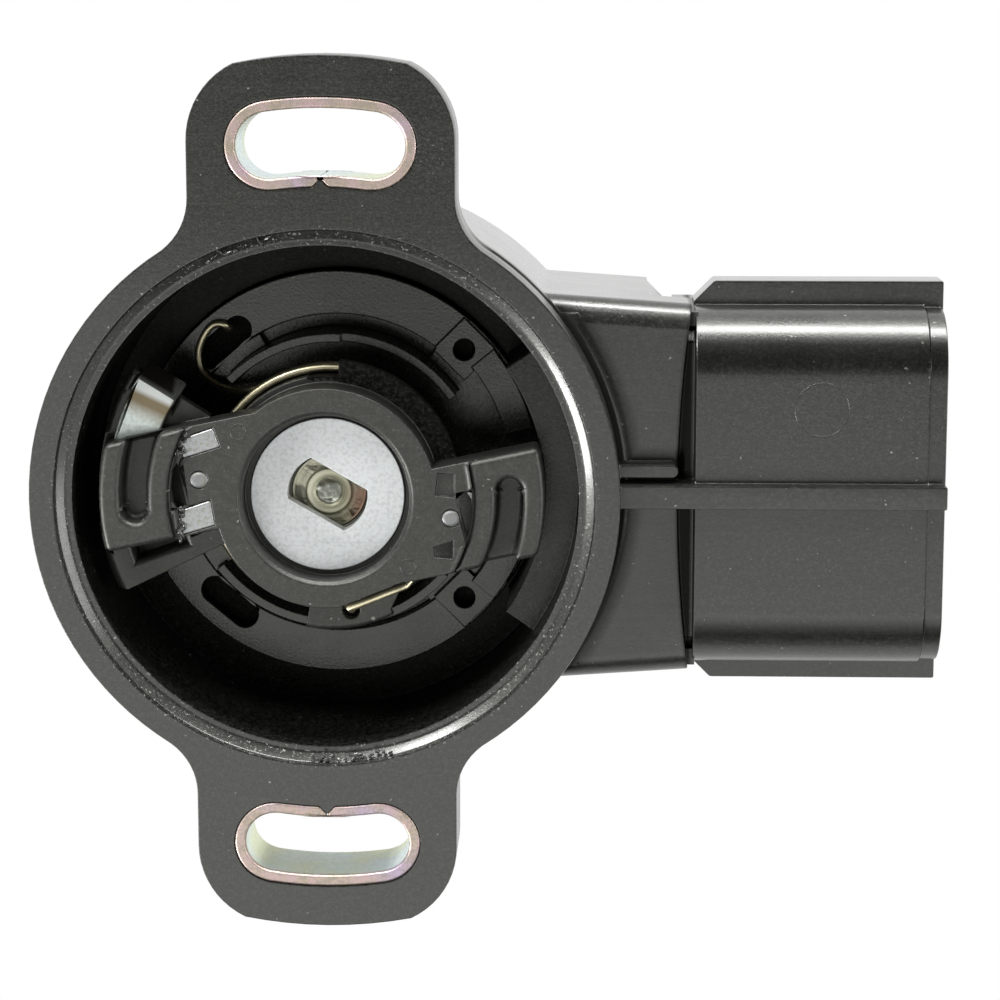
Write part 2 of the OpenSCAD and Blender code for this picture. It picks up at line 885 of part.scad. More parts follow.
// Zinc-plated disc in the hub, with the double-D hole that the throttle shaft turns
module drive_plate() {
    color([0.84, 0.87, 0.88])
        down(plate_top, plate_bottom)
            difference() {
                circle(r = plate_r);
                rotate(dd_angle)
                    intersection() {
                        circle(d = dd_l);
                        square([dd_l + e, dd_w], center = true);
                    }
            }
}

// Corners of a steel pad that shows in the left wing, on one side of the rivet
pad_points = [
    [[-10.6, 4.25], [-8, 5.15], [-7.5, 3.75], [-10.2, 2.9]],
    [[-10.6, -0.9], [-8.25, -0.1], [-7.95, -1.95], [-10.4, -2.7]]
];

module insert_outline() {
    intersection() {
        arc(tang_out, hub_hole_r + 0.9, tang_end, 195);
        union() {
            rotate(180 + wing_tilt)
                translate([0, wing_low + 0.5])
                    square([wing_r, wing_high - wing_low - 1]);
            arc(tang_out + e, tang_in, tang_end + 1, 175);
        }
    }
}

module lever_insert_shape() {
    down(insert_top, insert_top + insert_t)
        insert_outline();
    rotate(tang_end + 1.5)
        translate([tang_in, 0, -insert_top])
            rotate([90, 0, 90])
                linear_extrude(tang_out - tang_in)
                    polygon([
                        [0.8, 0],
                        [0, 0],
                        [-tang_run, -tang_drop],
                        [-tang_run, -tang_drop - insert_t],
                        [-tang_run + 0.8, -tang_drop - insert_t],
                        [0.8, -insert_t]
                    ]);
    for (points = pad_points)
        down(rotor_top, insert_top + insert_t)
            polygon(points);
}

module lever_insert() {
    color([0.82, 0.83, 0.82])
        difference() {
            lever_insert_shape();
            rotate(180)
                rivet_shape(rotor_top);
        }
}

// Turned shaft: head under the drive plate, journal in the bush, groove for the clip
module rotor_shaft() {
    color([0.8, 0.74, 0.58])
        rotate_extrude()
            polygon([
                [0, -plate_bottom - 0.35],
                [1, -plate_bottom - 0.35],
                [1.15, -plate_bottom - 0.2],
                [1.6, -plate_bottom - 0.2],
                [1.75, -plate_bottom - 0.35],
                [shaft_head_r - 0.2, -plate_bottom - 0.35],
                [shaft_head_r, -plate_bottom - 0.5],
                [shaft_head_r, -plate_bottom - 1.7],
                [shaft_r, -plate_bottom - 1.7],
                [shaft_r, -clip_top],
                [clip_groove_r, -clip_top],
                [clip_groove_r, -clip_top - clip_t],
                [shaft_r, -clip_top - clip_t],
                [shaft_r, -shaft_end + 0.3],
                [shaft_r - 0.3, -shaft_end],
                [0, -shaft_end]
            ]);
}

// Rivet through a wing; the one in the left wing holds the steel insert
module rivet_shape(top) {
    down(top, wing_bottom)
        translate([rivet_x, rivet_y])
            circle(r = rivet_r, $fn = 32);
}

module left_rivet() {
    color([0.85, 0.85, 0.83])
        rotate(180)
            rivet_shape(rotor_top - rivet_proud);
}

module right_rivet() {
    color([0.6, 0.6, 0.6])
        rivet_shape(rotor_top - rivet_proud);
}

module thrust_washer() {
    color([0.75, 0.75, 0.72])
        down(hub_bottom, hub_bottom + washer_t)
            ring(bush_r + 1.5, shaft_r + shaft_clear);
}

// Open clip in the shaft's groove, behind the bush
module shaft_clip() {
    color([0.45, 0.45, 0.45])
        down(clip_top, clip_top + clip_t)
            difference() {
                ring(clip_r, clip_groove_r);
                translate([0, -clip_groove_r])
                    square([clip_r + e, 2 * clip_groove_r]);
            }
}

// Arm of the wiper carrier towards +X
module carrier_arm(reach) {
    translate([0, -1.6])
        square([reach, 3.2]);
    translate([reach, 0])
        circle(r = 1.6);
}

module wiper_carrier() {
    color([0.3, 0.29, 0.27])
        down(carrier_top, carrier_bottom)
            difference() {
                union() {
                    circle(r = 4.4);
                    rotate(signal_rest)
                        carrier_arm(signal_r - 0.6);
                    rotate(idle_rest)
                        carrier_arm(collector_r);
                }
                circle(r = shaft_r);
            }
}

// Springy strip that leaves the carrier's underside and bears on a track at the radius given
module wiper_strip(radius, w, track_top) {
    reach = track_top - carrier_bottom - wiper_gap;
    translate([radius, 0, -carrier_bottom])
        rotate([90, 0, 0])
            translate([0, 0, -w / 2])
                linear_extrude(w)
                    polygon([
                        [-1.2, 0],
                        [0.8, 0],
                        [0.9, -0.25],
                        [0.3, -0.25],
                        [0.5, -reach + 0.25],
                        [0.25, -reach],
                        [0, -reach],
                        [-0.1, -0.25],
                        [-1.2, -0.25]
                    ]);
}

module signal_wiper() {
    color([0.86, 0.75, 0.42])
        rotate(signal_rest) {
            wiper_strip(signal_r, 1.2, board_depth - track_t);
            wiper_strip(collector_r, 1.2, board_depth - track_t);
            translate([collector_r - 1, -0.6, -carrier_bottom - 0.25])
                cube([signal_r - collector_r + 1, 1.2, 0.25]);
        }
}

module idle_wiper() {
    color([0.86, 0.75, 0.42])
        rotate(idle_rest)
            wiper_strip(collector_r, 1.2, board_depth - track_t);
}

module resistor_board() {
    color([0.82, 0.8, 0.74])
        down(board_depth, board_back)
            circle(r = board_r, $fn = 96);
}

// Printed track under a wiper, long enough for the whole travel
module track(radius, from, to) {
    down(board_depth - track_t, board_depth)
        arc(radius + track_w / 2, radius - track_w / 2, from, to);
}

module signal_track() {
    color([0.08, 0.08, 0.08])
        track(signal_r, signal_rest - track_past, signal_rest + rotor_travel + track_past);
}

module collector_track() {
    color([0.2, 0.2, 0.2])
        track(collector_r, signal_rest - track_past, signal_rest + rotor_travel + track_past);
}

module idle_contact() {
    color([0.8, 0.8, 0.8])
        track(collector_r, idle_rest - track_past, idle_rest + track_past);
}

// One bent blade, from the socket through the neck to the back of the board
module terminal_shape(i) {
    y = (i - 1.5) * terminal_pitch;
    top = -blade_depth + terminal_t / 2;
    low = -board_back;
    translate([0, y + terminal_w / 2, 0])
        rotate([90, 0, 0])
            linear_extrude(terminal_w)
                polygon([
                    [blade_tip - 0.8, top],
                    [blade_tip, top - terminal_t * 0.3],
                    [blade_tip, top - terminal_t * 0.7],
                    [blade_tip - 0.8, top - terminal_t],
                    [riser_x + terminal_t, top - terminal_t],
                    [riser_x + terminal_t, low - terminal_t],
                    [terminal_inner_x, low - terminal_t],
                    [terminal_inner_x, low],
                    [riser_x, low],
                    [riser_x, top]
                ]);
}

module terminal(i) {
    color([0.85, 0.84, 0.8])
        terminal_shape(i);
}

module back_cover() {
    color([0.2, 0.2, 0.2])
        down(cover_seat, cover_seat + cover_t)
            circle(r = cover_r, $fn = 96);
}

module potting_seal() {
    color([0.06, 0.06, 0.06])
        down(cover_seat, body_h - 0.15)
            ring(potting_r, cover_r);
}

housing();
upper_slot_bushing();
lower_slot_bushing();
stator_base();
bearing_bush();
return_spring();
rotor();
drive_plate();
lever_insert();
rotor_shaft();
left_rivet();
right_rivet();
thrust_washer();
shaft_clip();
wiper_carrier();
signal_wiper();
idle_wiper();
resistor_board();
signal_track();
collector_track();
idle_contact();
terminal(0);  // terminal_1
terminal(1);  // terminal_2
terminal(2);  // terminal_3
terminal(3);  // terminal_4
back_cover();
potting_seal();
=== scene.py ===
import json
import math

import bmesh
import bpy
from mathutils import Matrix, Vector
from mathutils.bvhtree import BVHTree

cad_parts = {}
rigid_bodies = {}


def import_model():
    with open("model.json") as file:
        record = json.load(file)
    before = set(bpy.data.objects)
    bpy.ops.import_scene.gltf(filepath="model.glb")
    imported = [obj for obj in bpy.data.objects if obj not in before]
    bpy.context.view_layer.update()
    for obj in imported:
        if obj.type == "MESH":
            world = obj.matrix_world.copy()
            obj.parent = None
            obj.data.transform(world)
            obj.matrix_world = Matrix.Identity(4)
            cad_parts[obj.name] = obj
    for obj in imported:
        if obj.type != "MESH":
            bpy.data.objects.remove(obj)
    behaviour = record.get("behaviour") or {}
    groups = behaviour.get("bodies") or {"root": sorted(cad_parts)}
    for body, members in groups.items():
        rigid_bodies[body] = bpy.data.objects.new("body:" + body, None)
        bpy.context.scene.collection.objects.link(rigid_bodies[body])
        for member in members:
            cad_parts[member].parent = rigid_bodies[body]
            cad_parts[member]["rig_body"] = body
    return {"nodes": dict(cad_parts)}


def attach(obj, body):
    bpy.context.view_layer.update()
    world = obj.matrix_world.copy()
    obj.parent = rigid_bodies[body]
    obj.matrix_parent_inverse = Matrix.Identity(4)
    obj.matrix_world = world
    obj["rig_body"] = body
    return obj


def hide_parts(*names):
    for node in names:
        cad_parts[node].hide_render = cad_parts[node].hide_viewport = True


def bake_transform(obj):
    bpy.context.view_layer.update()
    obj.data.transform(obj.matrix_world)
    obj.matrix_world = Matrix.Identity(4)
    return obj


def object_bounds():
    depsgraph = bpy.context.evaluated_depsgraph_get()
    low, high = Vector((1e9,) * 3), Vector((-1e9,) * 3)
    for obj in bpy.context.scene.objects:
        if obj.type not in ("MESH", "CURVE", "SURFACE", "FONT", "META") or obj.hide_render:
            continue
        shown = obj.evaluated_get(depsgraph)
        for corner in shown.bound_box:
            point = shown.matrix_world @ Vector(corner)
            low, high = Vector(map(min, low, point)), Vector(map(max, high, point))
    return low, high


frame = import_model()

cad_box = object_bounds()
nodes = frame["nodes"]
MM = 0.001

# Camera
# The photograph looks almost straight into the cup from a little above and to the right.
# Its long lens stands about 200 mm away, so the cup's side walls show on one side only.
camera_data = bpy.data.cameras.new("camera")
camera_data.sensor_width = 36
camera_data.lens = 104.4
camera_data.clip_start = 0.01
camera_data.clip_end = 10
camera = bpy.data.objects.new("camera", camera_data)
camera.location = Vector((18.82, 36.35, 203.45)) * MM
camera.rotation_euler = (math.radians(-10.07), math.radians(1.75), 0)
bpy.context.collection.objects.link(camera)
bpy.context.scene.camera = camera

# Studio
# A white table under the part, soft boxes beside the camera, and a surround that is white
# to the camera, shows reflections a darker ceiling and wall, and is only dim as a lamp.
scene = bpy.context.scene
scene.view_settings.view_transform = "Standard"


class Wire:
    """A socket in a node tree that can be used in sums."""

    def __init__(self, tree, socket):
        self.tree = tree
        self.socket = socket

    def maths(self, operation, *others):
        node = self.tree.nodes.new("ShaderNodeMath")
        node.operation = operation
        for slot, value in zip(node.inputs, (self, *others)):
            put(self.tree, slot, value)
        return Wire(self.tree, node.outputs[0])

    def __add__(self, other):
        return self.maths("ADD", other)

    def __sub__(self, other):
        return self.maths("SUBTRACT", other)

    def __mul__(self, other):
        return self.maths("MULTIPLY", other)

    def __rsub__(self, other):
        return (self * -1.0) + other

    def ramp(self, low, high):
        """0 at low and below, 1 at high and above."""
        spread = (self - low) * (1 / (high - low))
        return spread.maths("MAXIMUM", 0.0).maths("MINIMUM", 1.0)

    def axis(self, name):
        """One of X, Y and Z of a place or a direction."""
        node = self.tree.nodes.new("ShaderNodeSeparateXYZ")
        self.tree.links.new(self.socket, node.inputs[0])
        return Wire(self.tree, node.outputs[name])


def put(tree, slot, value):
    if isinstance(value, Wire):
        tree.links.new(value.socket, slot)
    else:
        slot.default_value = value


class Shader:
    """One material or world, with a method that makes any node."""

    def __init__(self, owner):
        owner.use_nodes = True
        self.owner = owner
        self.tree = owner.node_tree
        self.tree.nodes.clear()

    def node(self, kind, output=0, settings=(), **values):
        made = self.tree.nodes.new(kind)
        for name, value in dict(settings).items():
            setattr(made, name, value)
        for name, value in values.items():
            key = int(name[1:]) if name[0] == "_" else name.replace("_", " ")
            put(self.tree, made.inputs[key], value)
        return Wire(self.tree, made.outputs[output])

    def mix(self, factor, a, b):
        a = a if isinstance(a, Wire) else (*a, 1)
        b = b if isinstance(b, Wire) else (*b, 1)
        return self.node("ShaderNodeMix", 2, {"data_type": "RGBA"}, _0=factor, _6=a, _7=b)

    def place(self):
        return self.node("ShaderNodeTexCoord", "Object")

    def noise(self, scale, detail=2.0, rough=0.5, at=None):
        at = at or self.place()
        values = {"Vector": at, "Scale": scale, "Detail": detail, "Roughness": rough}
        return self.node("ShaderNodeTexNoise", **values)

    def stretched(self, x, y, z, turn=0.0):
        turned = (0, 0, math.radians(turn))
        values = {"Vector": self.place(), "Scale": (x, y, z), "Rotation": turned}
        return self.node("ShaderNodeMapping", **values)

    def bump(self, height, strength, distance):
        values = {"Height": height, "Strength": strength, "Distance": distance * MM}
        return self.node("ShaderNodeBump", **values)

    def output(self, wire, kind="ShaderNodeOutputMaterial"):
        self.tree.links.new(wire.socket, self.tree.nodes.new(kind).inputs[0])
        return self.owner

    def finish(self, **values):
        return self.output(self.node("ShaderNodeBsdfPrincipled", **values))

    def seen_directly(self):
        """1 for rays from the camera, from a mirror-like surface or through glass."""
        names = ("Is Camera Ray", "Is Glossy Ray", "Is Transmission Ray")
        camera, glossy, through = (self.node("ShaderNodeLightPath", name) for name in names)
        return camera.maths("MAXIMUM", glossy).maths("MAXIMUM", through)


def material(name):
    return Shader(bpy.data.materials.new(name))


AMBIENT = 0.25
surround = Shader(bpy.data.worlds.new("surround"))
scene.world = surround.owner
facing = surround.node("ShaderNodeTexCoord", "Generated")
across, upward = facing.axis("Y"), facing.axis("Z")
ceiling = upward.ramp(0.35, 0.95) * 0.58
dark_ceiling = upward.ramp(0.55, 0.70) * across.ramp(-0.12, 0.06) * 0.42
dark_wall = (across * -1.0).ramp(0.74, 0.86) * upward.ramp(0.08, 0.16) * 0.85
room = (1.0 - ceiling - dark_ceiling - dark_wall).maths("MAXIMUM", 0.05)
camera_ray = surround.node("ShaderNodeLightPath", "Is Camera Ray")
white = room.maths("MAXIMUM", camera_ray)
level = (white - AMBIENT) * surround.seen_directly() + AMBIENT
air = surround.node("ShaderNodeBackground", Color=(1, 1, 1, 1), Strength=level)
surround.output(air, "ShaderNodeOutputWorld")

table_size = 4000
table_gap = 0.02
table_z = cad_box[0].z - table_gap * MM
bpy.ops.object.select_all(action="DESELECT")
bpy.ops.mesh.primitive_plane_add(size=table_size * MM, location=(0, 0, table_z))
table_top = bpy.context.object
table_top.name = "table_top"
paper = material("white_paper")
bright = paper.node("ShaderNodeEmission", Color=(1, 1, 1, 1), Strength=1.0)
matte = paper.node("ShaderNodeBsdfDiffuse", Color=(0.85, 0.85, 0.85, 1))
shown = paper.node("ShaderNodeMixShader", _0=paper.seen_directly(), _1=matte, _2=bright)
table_top.data.materials.append(paper.output(shown))


CUP_MIDDLE = Vector((0, 0, -5))


def soft_box(name, place, width, height, watts):
    """A lamp of width by height, in mm, that faces the middle of the cup."""
    lamp = bpy.data.lights.new(name, "AREA")
    lamp.shape = "RECTANGLE"
    lamp.size = width * MM
    lamp.size_y = height * MM
    lamp.energy = watts
    box = bpy.data.objects.new(name, lamp)
    box.location = Vector(place) * MM
    box.rotation_euler = (CUP_MIDDLE - Vector(place)).to_track_quat("-Z", "Y").to_euler()
    bpy.context.collection.objects.link(box)


soft_box("box_left", (-419, -213, 165), 190, 130, 3.4)
soft_box("box_far_left", (-240, 385, 235), 140, 130, 2.6)
soft_box("box_right", (432, 20, 250), 300, 150, 1.1)
soft_box("box_behind", (60, 490, 42), 500, 140, 6.0)
soft_box("box_overhead", (-50, -190, 450), 700, 360, 1.12)


# Housing
# One black moulding of glass-filled polyester: satin on the ears and the connector, with
# faint flow streaks along the connector, specks of dust and a scuffed ring at the mouth with
# painted pale glints. Shade and dark reflections are painted by the collar, in the hollow
# before the shroud and on the shroud's corners. Inside, the cup's wall is a darker, duller
# copy of the plastic as painted shade, and its ledge is glossier.
WELD = 0.003
FLAT = math.radians(0.6)
SAME_FLAT = math.radians(0.3)
SHARP = math.radians(32)
CORNER_TURN = math.radians(25)
FINE = 0.1
NO_LIMIT = 1.0


def apply_modifier(piece, kind, **settings):
    modifier = piece.modifiers.new(kind.lower(), kind)
    for name, value in settings.items():
        setattr(modifier, name, value)
    bpy.ops.object.select_all(action="DESELECT")
    bpy.context.view_layer.objects.active = piece
    piece.select_set(True)
    bpy.ops.object.modifier_apply(modifier=modifier.name)


def block(name, corners):
    """A block whose corners are given as x, y, low and high, in mm."""
    mesh = bmesh.new()
    bottom = [mesh.verts.new(Vector((x, y, low)) * MM) for x, y, low, high in corners]
    top = [mesh.verts.new(Vector((x, y, high)) * MM) for x, y, low, high in corners]
    mesh.faces.new(bottom[::-1])
    mesh.faces.new(top)
    for i in range(len(corners)):
        k = (i + 1) % len(corners)
        mesh.faces.new((bottom[i], bottom[k], top[k], top[i]))
    made = bpy.data.meshes.new(name)
    mesh.to_mesh(made)
    mesh.free()
    piece = bpy.data.objects.new(name, made)
    bpy.context.collection.objects.link(piece)
    return piece


def weld(merge):
    """Joins the corners of the active piece that are closer than merge, in mm."""
    bpy.ops.object.mode_set(mode="EDIT")
    bpy.ops.mesh.select_all(action="SELECT")
    bpy.ops.mesh.remove_doubles(threshold=merge * MM)


def copy_of(name, new_name, merge=WELD, cuts=()):
    """A copy of a CAD node's mesh, less the cuts, with its facets joined into whole faces."""
    piece = bpy.data.objects.new(new_name, nodes[name].data.copy())
    bpy.context.collection.objects.link(piece)
    bpy.ops.object.select_all(action="DESELECT")
    bpy.context.view_layer.objects.active = piece
    piece.select_set(True)
    bpy.ops.mesh.customdata_custom_splitnormals_clear()
    weld(merge)
    bpy.ops.object.mode_set(mode="OBJECT")
    for cutter in cuts:
        apply_modifier(piece, "BOOLEAN", operation="DIFFERENCE", object=cutter, solver="EXACT")
        bpy.data.objects.remove(cutter)
    weld(merge)
    bpy.ops.mesh.dissolve_limited(angle_limit=FLAT)
    bpy.ops.object.mode_set(mode="OBJECT")
    return piece


def corner_room(edge, sharp):
    """The widest rounding that the sharp edges meeting this one leave room for."""
    room = NO_LIMIT
    for corner in edge.verts:
        along = (edge.other_vert(corner).co - corner.co).normalized()
        for other in corner.link_edges:
            if other is edge or other not in sharp:
                continue
            onward = (corner.co - other.other_vert(corner).co).normalized()
            if along.angle(onward) > CORNER_TURN:
                room = min(room, 0.42 * other.calc_length())
    return room


def flat_round(start):
    """The faces that lie in one flat with this one and join it, in a lasting order."""
    flat = dict.fromkeys([start])
    waiting = [start]
    while waiting:
        for edge in waiting.pop().edges:
            for face in edge.link_faces:
                if face not in flat and face.normal.angle(start.normal, math.pi) < SAME_FLAT:
                    flat[face] = None
                    waiting.append(face)
    return flat


def refill_flats(mesh):
    """Fills each large flat face again inside its outline and around its holes."""
    done = set()
    many_corners = 12
    for start in [face for face in mesh.faces if len(face.verts) > many_corners]:
        if start in done:
            continue
        normal = start.normal.copy()
        flat = flat_round(start)
        done.update(flat)
        edges = dict.fromkeys(edge for face in flat for edge in face.edges)
        outline = [edge for edge in edges if sum(face in flat for face in edge.link_faces) == 1]
        bmesh.ops.delete(mesh, geom=list(flat), context="FACES")
        outline = [edge for edge in outline if edge.is_valid]
        filled = bmesh.ops.triangle_fill(mesh, edges=outline, use_beauty=True, normal=normal)
        for face in [part for part in filled["geom"] if isinstance(part, bmesh.types.BMFace)]:
            face.normal_update()
            if face.normal.dot(normal) < 0:
                face.normal_flip()


def smooth_over(piece):
    """Smooth shading in which each flat keeps one normal right out to its edges."""
    mesh = bmesh.new()
    mesh.from_mesh(piece.data)
    weight = {}
    for face in mesh.faces:
        if face.index not in weight:
            flat = flat_round(face)
            area = sum(part.calc_area() for part in flat)
            weight.update((part.index, area) for part in flat)
    mesh.verts.ensure_lookup_table()
    normals = []
    smooth = 0.77
    for polygon in piece.data.polygons:
        for corner in polygon.vertices:
            faces = mesh.verts[corner].link_faces
            near = [face for face in faces if face.normal.dot(polygon.normal) > smooth]
            pulls = (face.normal * weight[face.index] for face in near)
            normals.append(sum(pulls, polygon.normal * 1e-12).normalized())
    mesh.free()
    piece.data.shade_smooth()
    piece.data.normals_split_custom_set(normals)


def soften(piece, width, segments=2, wide=None):
    """Rounds a piece's sharp edges, only finely where wide(place) says no."""
    mesh = bmesh.new()
    mesh.from_mesh(piece.data)
    surface = BVHTree.FromBMesh(mesh)
    weight = mesh.edges.layers.float.new("bevel_weight_edge")
    folds = [edge for edge in mesh.edges if len(edge.link_faces) == 2]
    sharp = {edge for edge in folds if edge.calc_face_angle(0) > SHARP}
    for edge in sharp:
        chosen = width if wide is None or all(wide(v.co / MM) for v in edge.verts) else FINE
        room = NO_LIMIT if wide else corner_room(edge, sharp)
        edge[weight] = min(chosen * MM, room) / (width * MM)
    mesh.to_mesh(piece.data)
    mesh.free()
    settings = {"width": width * MM, "segments": segments, "limit_method": "WEIGHT"}
    apply_modifier(piece, "BEVEL", use_clamp_overlap=False, **settings)
    mesh = bmesh.new()
    mesh.from_mesh(piece.data)
    furthest = 0.45 * width * MM
    for vertex in mesh.verts:
        near, _, _, gap = surface.find_nearest(vertex.co)
        if gap > furthest:
            vertex.co = near
    mesh.normal_update()
    refill_flats(mesh)
    mesh.to_mesh(piece.data)
    mesh.free()
    smooth_over(piece)


def stand_in(piece, node, skin):
    """Puts a piece in the place of a CAD node, on the same body."""
    piece.data.materials.clear()
    piece.data.materials.append(skin)
    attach(piece, nodes[node]["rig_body"])
    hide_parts(node)


def black_plastic(
    m, tone, rough, streak=0.0, dust=0.35, gloss=0.5, coat=0.0, shadow=None, scuffs_and_glints=0.0
):
    """Black plastic; it reflects nothing where the shadow mask is 1, as painted shade, and is worn
    with painted pale glints where the scuff mask is 1.
    """
    dark = (tone * 0.5, tone * 0.52, tone * 0.46)
    light = (tone * 1.4, tone * 1.42, tone * 1.25)
    grain = m.noise(5200, 3, 0.6)
    cloud = m.noise(260, 3, 0.6)
    lines = m.noise(900, 3, 0.6, m.stretched(0.05, 1.6, 1.6))
    specks = m.noise(2300, 1, 0.4).ramp(0.775, 0.80)
    specks = specks + m.noise(5600, 1, 0.4).ramp(0.76, 0.80) * 0.4
    # Worn pale specks, which also serve as painted glints where the scuff mask is high.
    rubbed_and_glints = m.noise(4600, 2, 0.5).ramp(0.62, 0.72) * scuffs_and_glints
    shade = cloud * 0.5 + lines * streak + grain * 0.3 + 0.3
    base = m.mix(shade.ramp(0.2, 1.2), dark, light)
    bloom = m.noise(2700, 4, 0.75).ramp(0.45, 0.68) * 0.026 + grain.ramp(0.5, 0.8) * 0.05
    pale = (specks * dust + rubbed_and_glints * 0.4 + bloom).ramp(0.0, 1.0)
    dusty = m.mix(pale, base, (0.4, 0.4, 0.36))
    skin_rough = grain * 0.2 + cloud * 0.2 + lines * (streak * 0.25) + (rough - 0.2)
    skin = m.node(
        "ShaderNodeBsdfPrincipled",
        Base_Color=dusty,
        Roughness=skin_rough.ramp(0.0, 1.0),
        Specular_IOR_Level=gloss,
        Specular_Tint=(1.0, 1.0, 0.93, 1),
        Coat_Weight=coat,
        Coat_Roughness=rough * 0.7,
        Normal=m.bump(grain + lines * streak + specks * 0.3 + rubbed_and_glints, 0.5, 0.03),
    )
    if shadow is None:
        return m.output(skin)
    # Painted shade: the shadow mask swaps the skin for an unlit dull black.
    unlit = m.node("ShaderNodeBsdfDiffuse", Color=(0.004, 0.004, 0.0035, 1))
    return m.output(m.node("ShaderNodeMixShader", _0=shadow, _1=skin, _2=unlit))


def in_mm(m):
    """A point's x, y and z in mm, and its distance from the cup's axis."""
    place = m.place()
    x, y, z = (place.axis(name) * 1000 for name in "XYZ")
    return x, y, z, (x * x + y * y).maths("SQRT")


def housing_material():
    """The moulding's skin, with painted shade and painted dark reflections in its corners and
    hollows, and wear with painted glints at the mouth.
    """
    m = material("housing_satin_black")
    x, y, z, radius = in_mm(m)
    # Painted shade and painted dark reflections: the skin turns to an unlit black by the collar
    # and the rib, in the hollow before the shroud, and in bands on the shroud's corners.
    below_top = 1.0 - z.ramp(-3.6, -3.3)
    off_rib = (y * y).ramp(0.75, 0.9)
    on_neck = x.ramp(10, 12) * below_top * z.ramp(-5.7, -5.3) * off_rib
    by_rib = y.ramp(0.6, 0.9) * (1.0 - y.ramp(2.4, 3.4)) * (1.0 - x.ramp(25.5, 26.0)) * 0.6
    by_collar = on_neck * (1.0 - radius.ramp(21.5, 23.0)).maths("MAXIMUM", by_rib)
    lens_left = x - y * y * 0.005
    in_hollow = lens_left.ramp(25.1, 25.6) * (1.0 - x.ramp(26.3, 26.65)) * below_top
    on_shroud = x.ramp(26.65, 26.75) * (1.0 - z.ramp(-3.68, -3.6))
    down = y * -1.0
    upper_corner = y.ramp(8.2, 9.8) * (1.0 - y.ramp(10.9, 11.9)) * 0.7
    lower_corner = down.ramp(9.0, 9.8) * (1.0 - down.ramp(10.4, 11.0)) * 0.5
    in_corners = on_shroud * (upper_corner + lower_corner)
    shadow = (by_collar * 0.9 + in_hollow * 0.9 + in_corners).ramp(0.0, 1.0)
    # Wear with painted pale glints on the ring at the mouth, and paler specks round the slot.
    at_mouth_ring = radius.ramp(18.0, 18.3) * (1.0 - radius.ramp(19.6, 19.8)) * z.ramp(-1.4, -1.2)
    across, along = x - 7.6, y - 24.6
    from_slot = (across * across + along * along * 0.4).maths("SQRT")
    scuffs_and_glints = at_mouth_ring.maths("MAXIMUM", (1.0 - from_slot.ramp(0.4, 1.6)) * 0.7)
    low_side = (1.0 - z.ramp(-7.0, -6.0)) * y.ramp(12.0, 14.0)
    on_upper_ear = y.ramp(13.0, 20.0) * z.ramp(-3.0, -2.0)
    coat = low_side * 0.6 + on_upper_ear * -0.35 + 0.4
    return black_plastic(m, 0.004, 0.27, 0.5, coat=coat, shadow=shadow, scuffs_and_glints=scuffs_and_glints)


housing = copy_of("housing", "housing_moulding", 0.03)
soften(housing, 0.14)
stand_in(housing, "housing", housing_material())
# Painted shade: the cup's inner wall gets a darker, duller copy of the plastic.
cup_wall_shade = black_plastic(material("cup_wall_painted_shade"), 0.0015, 0.3, 0, 0.3, 0.09)
gloss_ledge = black_plastic(material("ledge_gloss_black"), 0.006, 0.25, 0, 0.3, 0.3)
housing.data.materials.append(cup_wall_shade)
housing.data.materials.append(gloss_ledge)
CUP_WALL_SHADE, LEDGE = 1, 2
cup_r = 18.25
cup_floor, ledge_low, mouth_low = -14.1, -13, -0.7
for face in housing.data.polygons:
    centre = face.center / MM
    if centre.xy.length < cup_r and cup_floor < centre.z < mouth_low:
        on_ledge = face.normal.z > 0.7 and centre.z > ledge_low
        face.material_index = LEDGE if on_ledge else CUP_WALL_SHADE


# Flash and marks
# Crumbs of plastic left round the mouth where the mould closed, two small webs between the
# neck and the connector, and the faint ring that an ejector pin leaves.
def flash(name, places, size):
    """Small torn crumbs of plastic, one at each place."""
    crumbs = []
    for i, place in enumerate(places):
        place = Vector(place) * MM
        turn = math.atan2(place.y, place.x)
        radius = size * (1 + 0.6 * math.sin(i * 2.4) ** 2)
        bpy.ops.object.select_all(action="DESELECT")
        bpy.ops.mesh.primitive_ico_sphere_add(subdivisions=2, radius=radius * MM, location=place)
        crumb = bpy.context.object
        crumb.scale = (2.2 + math.sin(i), 1.0, 0.8)
        lean, roll = 0.4 * math.sin(i * 3.1), 0.5 * math.sin(i * 1.3)
        crumb.rotation_euler = (lean, roll, turn + 1.2 + 0.8 * math.sin(i * 2.2))
        bpy.ops.object.transform_apply(location=True, rotation=True, scale=True)
        for vertex in crumb.data.vertices:
            wobble = math.sin(vertex.co.x * 31000 + i) * math.sin(vertex.co.y * 27000) * 0.18
            vertex.co += (vertex.co - place) * wobble
        crumbs.append(crumb)
    for crumb in crumbs:
        crumb.select_set(True)
    bpy.context.view_layer.objects.active = crumbs[0]
    bpy.ops.object.join()
    crumbs[0].name = name
    return crumbs[0]


def at_mouth(from_angle, to_angle, radius, count):
    """Places along part of the mouth's edge, a little uneven."""
    edge_z = -0.36
    places = []
    for i in range(count):
        turn = math.radians(from_angle + (to_angle - from_angle) * i / (count - 1))
        reach = radius + 0.16 * math.sin(i * 1.7)
        places.append((reach * math.cos(turn), reach * math.sin(turn), edge_z))
    return places


def pin_mark(name, place, radius, thick):
    """The thin raised ring round an ejector pin's flat."""
    bpy.ops.object.select_all(action="DESELECT")
    bpy.ops.mesh.primitive_torus_add(
        location=Vector(place) * MM,
        major_radius=radius * MM,
        minor_radius=thick * MM,
        major_segments=48,
        minor_segments=8,
    )
    mark = bpy.context.object
    mark.name = name
    mark.scale.z = 0.7
    bpy.ops.object.transform_apply(location=True, rotation=True, scale=True)
    bpy.ops.object.shade_smooth()
    return mark


